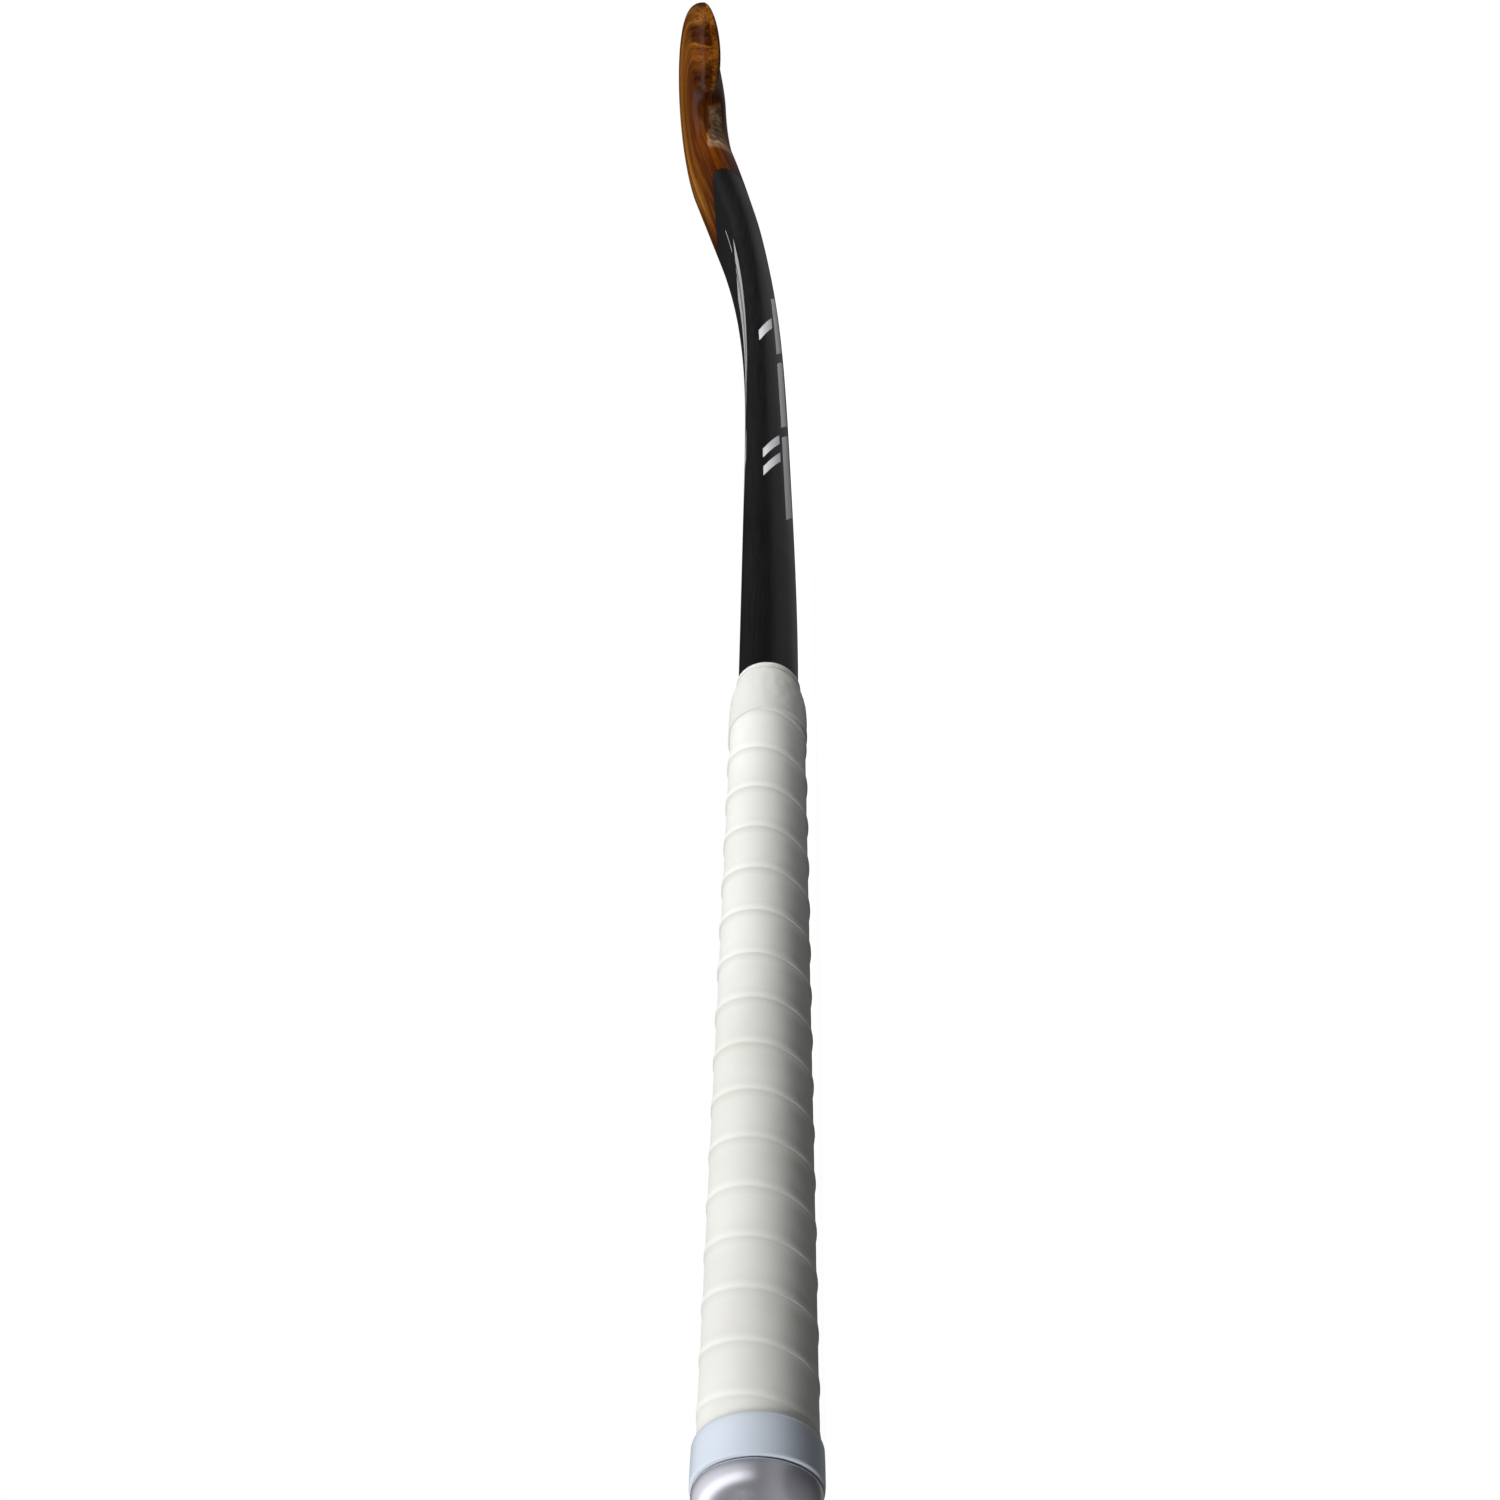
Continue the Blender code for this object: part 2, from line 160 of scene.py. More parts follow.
FIBRES, fibres_in, fibres_out = group(
    "long fibres",
    [("Vector", "NodeSocketVector", None), ("Along", "NodeSocketFloat", 10.0),
     ("Across", "NodeSocketFloat", 400.0), ("Detail", "NodeSocketFloat", 4.0)],
    [("Streak", "NodeSocketFloat")])
stretch = add(FIBRES, "ShaderNodeCombineXYZ",
              {0: fibres_in["Along"], 1: fibres_in["Across"], 2: fibres_in["Across"]})
drawn = add(FIBRES, "ShaderNodeVectorMath", {0: fibres_in["Vector"], 1: stretch.outputs[0]},
            operation="MULTIPLY")
streak = add(FIBRES, "ShaderNodeTexNoise",
             {"Vector": drawn.outputs[0], "Scale": 1.0, "Roughness": 0.6, "Detail": fibres_in["Detail"]})
FIBRES.links.new(streak.outputs["Fac"], fibres_out["Streak"])

GRAIN, grain_in, grain_out = group(
    "moulded grain",
    [("Vector", "NodeSocketVector", None), ("Scale", "NodeSocketFloat", 800.0)],
    [("Height", "NodeSocketFloat"), ("Clouding", "NodeSocketFloat")])
for label, scale, detail in (("Height", grain_in["Scale"], 3.0), ("Clouding", CLOUD_SCALE, 5.0)):
    pattern = add(GRAIN, "ShaderNodeTexNoise",
                  {"Vector": grain_in["Vector"], "Scale": scale, "Detail": detail})
    GRAIN.links.new(pattern.outputs["Fac"], grain_out[label])


def moulded_look(name, scale, dark, light, roughness, distance, strength=1.0, rough_by="Clouding", **sockets):
    """A moulded material, clouded in colour, whose roughness follows the clouding or the fine grain."""
    look, tree, shader = finish(name, **sockets)
    moulded = placed(tree, GRAIN, Vector=object_place(tree), Scale=scale)
    spread = (0.3, 0.7) if rough_by == "Clouding" else (0.0, 1.0)
    wire(tree, shader, ramp(tree, moulded["Clouding"], (0.3, dark), (0.7, light)),
         ranged(tree, moulded[rough_by], *spread, *roughness), moulded["Height"], distance, strength)
    return look


cane, tree, shader = finish("raw_cane")
streak = placed(tree, FIBRES, Vector=object_place(tree), Along=6.0, Across=700.0)["Streak"]
straw = ramp(tree, streak, (0.3, (0.30, 0.17, 0.06)), (0.5, (0.52, 0.34, 0.15)), (0.7, (0.68, 0.49, 0.25)))
wire(tree, shader, straw, ranged(tree, streak, 0.0, 1.0, 0.5, 0.8), streak, 0.0002)
dress(cane, "core_cane_heel", "core_cane_middle", "core_cane_toe")

rubber = moulded_look("matt_rubber", 1500.0, (0.012, 0.012, 0.012), (0.028, 0.027, 0.026), (0.7, 0.95),
                      0.00005, rough_by="Height", Specular_IOR_Level=0.3)
dress(rubber, "core_rubber_heel", "core_rubber_toe")


# Head: thin wood plies glued side by side, steamed round the hook and shaved to a flat face and a rounded
# back, under a clear lacquer. Each ply meets its neighbours at a fine dark glue line. The edges carry painted
# shade, and the hook's mouth is worn through, with a painted reflection and a painted highlight round it.
BUTT_WIDTH, HANDLE_WIDTH, HEAD_WIDTH = 0.0348, 0.0300, 0.0485
BUTT_THICKNESS, HANDLE_THICKNESS, WAIST_THICKNESS = 0.0348, 0.0256, 0.0180
HEAD_THICKNESS, TOE_THICKNESS = 0.0225, 0.0126
BUTT_EDGE, HANDLE_EDGE, HEAD_EDGE = 0.0171, 0.0120, 0.0065
HANDLE_END, WAIST, HEAD_WIDTH_FROM, HEAD_EDGE_FROM = 0.400, 0.733, 0.800, 0.700
BOW_START, BOW_END, BOW_RISE, BOW_POWER = 0.562, 0.792, 0.0166, 3.2
HOOK_START, HOOK_RADIUS, HOOK_TURN = 0.861, 0.0355, math.radians(154.5)
HOOK_END = HOOK_START + HOOK_RADIUS*HOOK_TURN
TOE_ROUND, TOE_EDGE, TOE_TAPER_FROM = 0.020, 0.004, 0.45
SLEEVE_SLANT, SLANT_FADE, SLEEVE_WALL, SLEEVE_GAP = 0.50, 0.050, 0.0010, 0.0003
PLY_COUNT, PLY_START, PLY_SEAM = 8, 0.760, 0.000005
TUCKED_ROWS, NECK_ROWS, HOOK_ROWS, STEP_OUT = 12, 14, 64, 0.0002
SIDE_STEPS, INNER_STEPS = 24, 6
TOE_SQUARENESS = 4
MERGE_DISTANCE, SLIVER, SHARP_ANGLE = 2e-6, 1e-7, math.radians(40)

# How much of the thickness is left, row by row over the toe's end
TOE_ROWS = (1.0, 0.998, 0.99, 0.975, 0.95, 0.91, 0.85, 0.77, 0.67, 0.54, 0.38, 0.20, 0.0)

cap_low, cap_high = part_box("butt_cap")
BUTT = Vector((cap_low[0], (cap_low[1] + cap_high[1])/2, (cap_low[2] + cap_high[2])/2))


def reach(node):
    """Where a solid starts and ends along the stick, measured from the butt."""
    low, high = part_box(node)
    return low[0] - BUTT.x, high[0] - BUTT.x


SLEEVE_CUT = reach("shaft_sleeve")[1] - SLEEVE_SLANT*HEAD_WIDTH/2


def mix(a, b, share):
    return a + (b - a)*share


def linear(low, high, value):
    return min(max((value - low)/(high - low), 0.0), 1.0)


def ease(low, high, value):
    share = linear(low, high, value)
    return share*share*(3 - 2*share)


def width(s):
    """Width at s. Here and below, s runs from the butt along the stick's centre line, in metres."""
    handle = mix(BUTT_WIDTH, HANDLE_WIDTH, linear(0, HANDLE_END, s))
    return mix(handle, HEAD_WIDTH, ease(HANDLE_END, HEAD_WIDTH_FROM, s))


def thickness(s):
    handle = mix(BUTT_THICKNESS, HANDLE_THICKNESS, linear(0, HANDLE_END, s))
    waist = mix(handle, WAIST_THICKNESS, ease(HANDLE_END, WAIST, s))
    head = mix(waist, HEAD_THICKNESS, ease(WAIST, HOOK_START, s))
    toe_from = mix(HOOK_START, HOOK_END, TOE_TAPER_FROM)
    return mix(head, TOE_THICKNESS, ease(toe_from, HOOK_END + TOE_ROUND/2, s))


def edge_radius(s):
    handle = mix(BUTT_EDGE, HANDLE_EDGE, linear(0, HANDLE_END, s))
    return mix(handle, HEAD_EDGE, ease(HANDLE_END, HEAD_EDGE_FROM, s))


def face_height(s):
    """Height of the playing face over the handle's axis, before the bow lifts it."""
    return mix(BUTT_THICKNESS, HANDLE_THICKNESS, linear(0, HANDLE_END, s))/2


def shoulder(s):
    """Height where the section is widest."""
    return face_height(s) - edge_radius(s)


def place(s, u, z):
    """World point at s along the centre line, u to the toe's side and z over the handle's axis."""
    turn = min(max((s - HOOK_START)/HOOK_RADIUS, 0), HOOK_TURN)
    past = max(s - HOOK_END, 0)
    arm = HOOK_RADIUS - u
    x = min(s, HOOK_START) + arm*math.sin(turn) + past*math.cos(turn)
    toe = HOOK_RADIUS - arm*math.cos(turn) + past*math.sin(turn)
    lift = BOW_RISE*linear(BOW_START, BOW_END, x)**BOW_POWER
    lift += BOW_RISE*BOW_POWER/(BOW_END - BOW_START)*max(x - BOW_END, 0)
    return BUTT + Vector((x, -toe, z + lift))


def mapped(rows, columns, shape):
    """A grid taken onto the stick. shape gives (s, u, z), UV and a mark for each row and column."""
    bm = bmesh.new()
    bmesh.ops.create_grid(bm, x_segments=rows, y_segments=columns, size=0.5)
    uv = bm.loops.layers.uv.new("lay")
    inside = bm.verts.layers.float_vector.new("wood")
    mark = bm.verts.layers.float_vector.new("mark")
    flat = {}
    for vert in bm.verts:
        row = round((vert.co.x + 0.5)*rows)
        column = round((vert.co.y + 0.5)*columns)
        at, flat[vert], vert[mark] = shape(row, column)
        vert[inside] = at
        vert.co = place(*at)
    for face in bm.faces:
        for loop in face.loops:
            loop[uv].uv = flat[loop.vert]
    return bm


def settled(bm, name, look, slot, *nodes):
    """The finished piece: closed, smooth, riding on the stick in place of its solids."""
    bmesh.ops.remove_doubles(bm, verts=bm.verts[:], dist=MERGE_DISTANCE)
    bmesh.ops.dissolve_degenerate(bm, edges=bm.edges[:], dist=SLIVER)
    bmesh.ops.holes_fill(bm, edges=[edge for edge in bm.edges if edge.is_boundary])
    bmesh.ops.recalc_face_normals(bm, faces=bm.faces[:])
    mesh = bpy.data.meshes.new(name)
    bm.to_mesh(mesh)
    bm.free()
    mesh.shade_smooth()
    mesh.set_sharp_from_angle(angle=SHARP_ANGLE)
    mesh.materials.append(look)
    piece = bpy.data.objects.new(name, mesh)
    bpy.context.scene.collection.objects.link(piece)
    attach(piece, "root")
    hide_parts(*nodes)
    return piece


def skewed(s, share):
    """A station square across the stick, skewed near the sleeve's slanted end."""
    return s + max(1 - abs(SLEEVE_CUT - s)/SLANT_FADE, 0)*SLEEVE_SLANT*HEAD_WIDTH/2*share


# Grain of the wood, which is shifted from ply to ply, and the slow waves that run through all of them
PLY_SHIFT = (3.1, 0.71, 0.37)
wood, tree, shader = finish("lacquered_wood", Coat_Weight=0.15, Coat_Roughness=0.10, Coat_IOR=1.45,
                            Specular_IOR_Level=0.08)
inside = add(tree, "ShaderNodeAttribute", attribute_name="wood").outputs["Vector"]
along = parts_of(tree, inside)["X"]
mark = parts_of(tree, add(tree, "ShaderNodeAttribute", attribute_name="mark").outputs["Vector"])
which_ply, across_ply, toe_thickness_left = mark["X"], mark["Y"], mark["Z"]
lay = parts_of(tree, add(tree, "ShaderNodeUVMap", uv_map="lay").outputs["UV"])
over_the_end, round_the_side = lay["X"], lay["Y"]
shift = add(tree, "ShaderNodeVectorMath", {0: PLY_SHIFT, 3: which_ply}, operation="SCALE").outputs[0]
own = add(tree, "ShaderNodeVectorMath", {0: inside, 1: shift}, operation="ADD").outputs[0]
broad = placed(tree, FIBRES, Vector=own, Along=9.0, Across=170.0, Detail=3.0)["Streak"]
waves = placed(tree, FIBRES, Vector=inside, Along=7.0, Across=90.0, Detail=4.0)["Streak"]
fine = placed(tree, FIBRES, Vector=own, Along=30.0, Across=900.0, Detail=5.0)["Streak"]
pores = placed(tree, FIBRES, Vector=own, Along=160.0, Across=4200.0, Detail=2.0)["Streak"]
tone = ramp(tree, broad, (0.30, (0.070, 0.020, 0.0020)), (0.45, (0.140, 0.048, 0.005)),
            (0.55, (0.190, 0.073, 0.010)), (0.70, (0.280, 0.122, 0.019)))
streaked = ramp(tree, fine, (0.35, (0.42, 0.34, 0.26)), (0.62, (1.35, 1.35, 1.2)))
tone = colours(tree, 0.85, tone, streaked, "MULTIPLY")

# Tone of the layers from the heel's side to the toe's: one along the stick, another over the toe's end
SLEEVE_FADE, END_TONE = (0.850, 0.805), (0.938, 0.957)
LAYER_WOBBLE, END_WOBBLE = 0.06, 0.04
layer = maths(tree, "MULTIPLY_ADD", maths(tree, "SUBTRACT", across_ply, 0.5), 1/PLY_COUNT, which_ply)
layer = maths(tree, "ADD", layer, ranged(tree, waves, 0.3, 0.7, -LAYER_WOBBLE, LAYER_WOBBLE))
length_tone = ramp(tree, layer, (0.02, (0.25, 0.18, 0.14)), (0.14, (0.28, 0.20, 0.15)),
                   (0.21, (1.00, 0.92, 0.84)), (0.32, (1.35, 1.40, 1.22)), (0.48, (0.95, 0.85, 0.62)),
                   (0.60, (0.50, 0.34, 0.25)), (0.72, (0.38, 0.25, 0.17)), (0.82, (0.48, 0.32, 0.18)),
                   (0.95, (0.40, 0.26, 0.14)))
by_sleeve = ranged(tree, along, *SLEEVE_FADE)
length_tone = colours(tree, by_sleeve, length_tone, (0.38, 0.24, 0.19, 1.0), "MULTIPLY")
end_tone = ramp(tree, layer, (0.06, (0.95, 0.85, 0.70)), (0.20, (0.85, 0.80, 0.70)),
                (0.28, (0.30, 0.20, 0.24)), (0.455, (0.30, 0.20, 0.22)), (0.465, (1.20, 1.20, 1.1)),
                (0.485, (0.80, 0.62, 0.45)), (0.62, (0.95, 0.74, 0.46)), (0.76, (0.34, 0.21, 0.20)),
                (0.87, (0.32, 0.19, 0.18)), (0.95, (0.75, 0.52, 0.32)))
wander = ranged(tree, waves, 0.3, 0.7, -END_WOBBLE, END_WOBBLE)
on_back = ranged(tree, maths(tree, "ADD", over_the_end, wander), -0.05, 0.15)
end_tone = colours(tree, on_back, end_tone, (0.95, 0.80, 0.55, 1.0))
on_end = ranged(tree, maths(tree, "ADD", toe_thickness_left, wander), 0.995, 0.93)
on_end = maths(tree, "MAXIMUM", on_end, ranged(tree, along, *END_TONE))
tone = colours(tree, 1.0, tone, colours(tree, on_end, length_tone, end_tone), "MULTIPLY")

# Hook's mouth: the innermost ply is worn through, painted with the reflection and shade of a hollow that the
# shape lacks, and with a painted highlight as the pale rim round it
MOUTH_START, MOUTH_END, MOUTH_FADE = 0.843, 0.917, 0.005
RIM_ROUND, RIM_ALONG, RIM_FADE = 0.06, 0.0025, 0.05
deep = maths(tree, "ADD", round_the_side, ranged(tree, fine, 0.3, 0.7, -0.03, 0.03))
inner_ply = maths(tree, "GREATER_THAN", which_ply, 0.9)
outer_ply = maths(tree, "LESS_THAN", which_ply, 0.1)
mottled = placed(tree, GRAIN, Vector=inside, Scale=170.0)["Height"]
worn_wood_and_reflection = ramp(tree, mottled, (0.38, (0.030, 0.022, 0.014)), (0.48, (0.120, 0.068, 0.031)),
            (0.60, (0.28, 0.19, 0.125)))
lowered = maths(tree, "SUBTRACT", deep, ranged(tree, along, 0.850, 0.876, -0.16, 0.06))
# The pale rim is a painted highlight; the mottled patch inside paints a worn hollow's reflection and shade
for inward, amount, patch in ((0, 0.30, (0.42, 0.26, 0.15, 1.0)), (1, 0.65, worn_wood_and_reflection)):
    low = inward*RIM_ROUND
    start, end = MOUTH_START + inward*RIM_ALONG, MOUTH_END - inward*RIM_ALONG
    worn_patch_and_highlight = folded(tree, "MULTIPLY", ranged(tree, lowered, low, low + RIM_FADE),
                    ranged(tree, along, start, start + MOUTH_FADE),
                    ranged(tree, along, end, end - MOUTH_FADE), inner_ply, amount)
    tone = colours(tree, worn_patch_and_highlight, tone, patch)

# Painted shade: dark colour on the back's crown, on the back of the toe's end, and on the outer ply's flank
# near the toe
PAINTED_SHADE, PAINTED_SHADE_COLOUR = 0.9, (0.012, 0.006, 0.004, 1.0)
crown = maths(tree, "SUBTRACT", deep, ranged(tree, along, 0.895, 0.940, 0.0, 0.38))
crown = ranged(tree, crown, 0.60, 0.82)
toe_back = maths(tree, "MULTIPLY", ranged(tree, over_the_end, 0.55, 0.70), ranged(tree, along, 0.948, 0.955))
edge = ranged(tree, maths(tree, "ABSOLUTE", round_the_side), 0.20, 0.10)
by_face = maths(tree, "MULTIPLY", ranged(tree, round_the_side, 0.0, -0.02),
                ranged(tree, round_the_side, -0.45, -0.25))
flank = folded(tree, "MULTIPLY", maths(tree, "MAXIMUM", edge, by_face),
               ranged(tree, along, 0.930, 0.945), outer_ply)
# Painted shade along the rounded back and round the toe's end
painted_shade = maths(tree, "MULTIPLY", folded(tree, "MAXIMUM", crown, toe_back, flank), PAINTED_SHADE)
tone = colours(tree, painted_shade, tone, PAINTED_SHADE_COLOUR)

# Pores and glue lines
tone = colours(tree, ranged(tree, pores, 0.62, 0.70, 0.0, 0.6), tone, (0.02, 0.006, 0.002, 1.0))
from_middle = maths(tree, "ABSOLUTE", maths(tree, "SUBTRACT", across_ply, 0.5))
tone = colours(tree, ranged(tree, from_middle, 0.470, 0.5, 0.0, 0.55), tone, (0.018, 0.006, 0.003, 1.0))
wire(tree, shader, tone, ranged(tree, fine, 0.3, 0.7, 0.3, 0.5), fine, 0.00008, 0.35)


def bent_ply(k, steps):
    """One ply: its face and back between its two sides, along the stick and round the hook to the toe.

    Its UV tells how far over the toe's end and how far in from the stick's side a point lies, both negative
    on the face. Its mark holds the ply, the share across it and the thickness that is left at the toe's end.
    """
    tucked = SLEEVE_WALL + SLEEVE_GAP
    clear = SLEEVE_CUT + SLEEVE_GAP
    lines = [(mix(PLY_START, clear, n/TUCKED_ROWS), 1.0, tucked) for n in range(TUCKED_ROWS + 1)]
    lines += [(mix(clear + STEP_OUT, HOOK_START, n/NECK_ROWS), 1.0, 0.0) for n in range(NECK_ROWS)]
    lines += [(mix(HOOK_START, HOOK_END, n/HOOK_ROWS), 1.0, 0.0) for n in range(HOOK_ROWS + 1)]
    lines += [(None, pinch, 0.0) for pinch in TOE_ROWS]
    low, high = mix(-1, 1, k/PLY_COUNT), mix(-1, 1, (k + 1)/PLY_COUNT)

    def shape(row, column):
        s0, pinch, inset = lines[row]
        ring = 2*steps + 2
        column = column % ring
        step = min(column, ring - 1 - column)
        share = step/steps
        on_face = column <= steps
        if k in (0, PLY_COUNT - 1):
            wide = math.sin(mix(math.asin(low), math.asin(high), share))
        else:
            wide = mix(low, high, share)
        if s0 is None:
            past = (1 - pinch**TOE_SQUARENESS)**(1/TOE_SQUARENESS)
            s = HOOK_END + past*mix(TOE_EDGE, TOE_ROUND, math.sqrt(max(1 - wide**2, 0)))
        else:
            s = skewed(s0, wide)
        half = width(s)/2 - inset
        u = wide*half
        if step == 0 and k > 0:
            u += PLY_SEAM
        if step == steps and k < PLY_COUNT - 1:
            u -= PLY_SEAM
        over = max(abs(u) - (width(s)/2 - edge_radius(s)), 0)
        upper = shoulder(s) + math.sqrt(max((edge_radius(s) - inset)**2 - over**2, 0))
        lower = shoulder(s) - (thickness(s) - edge_radius(s) - inset)*math.sqrt(max(1 - (u/half)**2, 0))
        middle = face_height(s) - thickness(s)/2
        z = middle + ((upper if on_face else lower) - middle)*pinch
        deep = math.acos(min(abs(wide), 1.0))/(math.pi/2)
        lay = (-pinch, -deep) if on_face else (pinch, deep)
        return (s, u, z), lay, ((k + 0.5)/PLY_COUNT, share, pinch)

    return mapped(len(lines) - 1, 2*steps + 2, shape)


for k in range(PLY_COUNT):
    ply = bent_ply(k, SIDE_STEPS if k in (0, PLY_COUNT - 1) else INNER_STEPS)
    settled(ply, f"wood_ply_{k + 1}", wood, "head_wood", f"head_ply_{k + 1}")


# Shaft sleeve: a black fibre-reinforced sock, laid wet over the shaft, cured and rubbed down, then printed
# with silver stripes under a satin varnish. It ends on a slant above the head, flush with the wood.
SLEEVE_START = 0.385
SHAFT_ROWS, SHAFT_COLUMNS = 140, 120

# Start and end of each stripe along the stick, and its two sides as arcs from the toe's side, positive over
# the face and negative over the back
BLOCK, DASH = (-0.0185, -0.0115), (-0.0095, 0.0010)
STRIPES = [(start, end, *BLOCK) for start, end in ((0.492, 0.556), (0.564, 0.618), (0.626, 0.676))]
STRIPES += [(start, end, *DASH) for start, end in ((0.538, 0.545), (0.552, 0.559), (0.650, 0.659))]
STRIPES += [(0.660, 0.775, low, high) for low, high in ((0.0115, 0.0190), (0.0205, 0.0220), (0.0235, 0.0310))]
STRIPES += [(0.575, 0.600, 0.0118, 0.0260), (0.790, 0.812, 0.0200, 0.0210)]


def section(s, share, out=0.0):
    """(u, z) at a share of the way round from the toe's side, over face, heel and back, and the arc to it."""
    half, radius = width(s)/2 + out, edge_radius(s) + out
    drop = thickness(s) - edge_radius(s) + out
    edge, flat, back = math.pi/2*radius, 2*(half - radius), math.pi*math.sqrt((half**2 + drop**2)/2)
    whole = 2*edge + flat + back
    run = (share % 1.0)*whole
    arc = run if run < whole/2 else run - whole
    if run < edge:
        u, z = half - radius + radius*math.cos(run/radius), radius*math.sin(run/radius)
    elif run < edge + flat:
        u, z = half - radius - (run - edge), radius
    elif run < 2*edge + flat:
        angle = (run - edge - flat)/radius
        u, z = radius - half - radius*math.sin(angle), radius*math.cos(angle)
    else:
        angle = math.pi*(1 + (run - 2*edge - flat)/back)
        u, z = half*math.cos(angle), drop*math.sin(angle)
    return u, shoulder(s) + z, arc


def seam_arc(arc, column, columns):
    """The arc, which at the grid's two edges, where they meet on the heel's side, keeps its half's sign."""
    if column in (0, columns):
        return abs(arc)*(-1 if column == 0 else 1)
    return arc


def shaft_shape(row, column):
    outside = row <= SHAFT_ROWS
    line = min(row, SHAFT_ROWS) if outside else 2*SHAFT_ROWS + 1 - row
    s0 = mix(SLEEVE_START, SLEEVE_CUT, line/SHAFT_ROWS)
    share = 0.5 + column/SHAFT_COLUMNS
    u = section(s0, share)[0]
    s = skewed(s0, u/(width(s0)/2))
    u, z, arc = section(s, share, 0.0 if outside else -SLEEVE_WALL)
    return (s, u, z), (s, seam_arc(arc, column, SHAFT_COLUMNS)), (0.0, 0.0, 0.0)


PRINT, print_in, print_out = group(
    "printed stripe",
    [("Along", "NodeSocketFloat", 0.0), ("Across", "NodeSocketFloat", 0.0), ("Start", "NodeSocketFloat", 0.0),
     ("End", "NodeSocketFloat", 0.1), ("Low", "NodeSocketFloat", 0.0), ("High", "NodeSocketFloat", 0.001),
     ("Slant", "NodeSocketFloat", 1.5)],
    [("Ink", "NodeSocketFloat")])
leaning = maths(PRINT, "MULTIPLY_ADD", print_in["Across"], print_in["Slant"], print_in["Along"])
limits = [maths(PRINT, "GREATER_THAN", more, less) for more, less in (
    (leaning, print_in["Start"]), (print_in["End"], leaning),
    (print_in["High"], print_in["Across"]), (print_in["Across"], print_in["Low"]))]
PRINT.links.new(folded(PRINT, "MULTIPLY", *limits), print_out["Ink"])

fibre, tree, shader = finish("black_fibre", Coat_Weight=0.25, Coat_Roughness=0.28, Specular_IOR_Level=0.45)
lay = parts_of(tree, add(tree, "ShaderNodeUVMap", uv_map="lay").outputs["UV"])
spot = object_place(tree)
thread = placed(tree, FIBRES, Vector=spot, Along=35.0, Across=1800.0)["Streak"]
clouding = placed(tree, GRAIN, Vector=spot, Scale=900.0)["Clouding"]
ink = folded(tree, "MAXIMUM", *[
    placed(tree, PRINT, Along=lay["X"], Across=lay["Y"], Start=start, End=end, Low=low, High=high)["Ink"]
    for start, end, low, high in STRIPES])
worn = maths(tree, "MULTIPLY", ink, ranged(tree, clouding, 0.30, 0.42, 0.75, 1.0))
black = ramp(tree, thread, (0.35, (0.0030, 0.0030, 0.0034)), (0.65, (0.0075, 0.0075, 0.0082)))
silver = ramp(tree, clouding, (0.3, (0.52, 0.53, 0.55)), (0.7, (0.62, 0.63, 0.65)))
tree.links.new(maths(tree, "MULTIPLY", worn, 0.25), shader.inputs["Metallic"])
rough = ramp(tree, clouding, (0.3, grey(0.33)), (0.7, grey(0.43)))
rough = colours(tree, ink, rough, (*grey(0.36), 1.0))
wire(tree, shader, colours(tree, worn, black, silver), rough, thread, 0.00003, 0.4)
sock = mapped(2*SHAFT_ROWS + 1, SHAFT_COLUMNS, shaft_shape)
settled(sock, "fibre_sleeve", fibre, "black_fibre", "shaft_sleeve")


# Grip underlay and plug: a thin foam tube that softens the handle under the tape, and the stem of the butt
# cap, pressed into the middle cane. Both are hidden, and the solids themselves stay.
foam, tree, shader = finish("foam_underlay", Sheen_Weight=0.2)
cells = add(tree, "ShaderNodeTexVoronoi", {"Vector": object_place(tree), "Scale": 1800.0}).outputs["Distance"]
wire(tree, shader, ramp(tree, cells, (0.0, (0.38, 0.38, 0.36)), (0.6, (0.58, 0.58, 0.55))),
     ranged(tree, cells, 0.0, 1.0, 0.8, 0.95), cells, 0.0002)
dress(foam, "grip_underlay")

plug = moulded_look("grey_plug", 1200.0, (0.21, 0.21, 0.23), (0.29, 0.29, 0.31), (0.4, 0.6), 0.00003,
                    rough_by="Height")
dress(plug, "butt_plug")


# Grip wrap: one long strip of soft white polyurethane tape, wound up the handle from the butt. Each turn laps
# over the one before, which leaves a soft raised band with a crisp lower edge, a painted highlight along its
# crest, and dirt with painted shade along its seam.
FIRST_SEAM, BUTT_PITCH, PITCH_GROWTH = 0.0381, 0.0199, 0.000287
WRAP_START, WRAP_END = 0.0195, reach("grip_wrap")[1]
WRAP_OUT, OVERLAP = 0.0025, 0.0004
THIN_LAP, THICK_LAP, THICK_FROM = 0.7, 1.3, 0.25
WANDER, RIPPLE, PULL = 0.00022, 0.00005, 0.00004
WRAP_COLUMNS = 96
FIRST_TURN, TURNS = -2, 18
TURN_LENGTH, TAPE_WIDTH = 0.09, 0.0235

# Shares of a turn, and the height there in shares of the overlap
LAPS = ((0.000, 1.14), (0.020, 1.10), (0.045, 0.96), (0.070, 0.78), (0.095, 0.57), (0.120, 0.36),
        (0.145, 0.18), (0.170, 0.06), (0.200, 0.0), (0.240, -0.03), (0.32, -0.02), (0.42, 0.02),
        (0.52, 0.04), (0.62, 0.04), (0.70, 0.03), (0.76, 0.03), (0.80, 0.08), (0.835, 0.20),
        (0.870, 0.40), (0.900, 0.58), (0.925, 0.72), (0.940, 0.78), (0.944, 0.94), (0.960, 1.04),
        (0.980, 1.11), (1.0, 1.14))


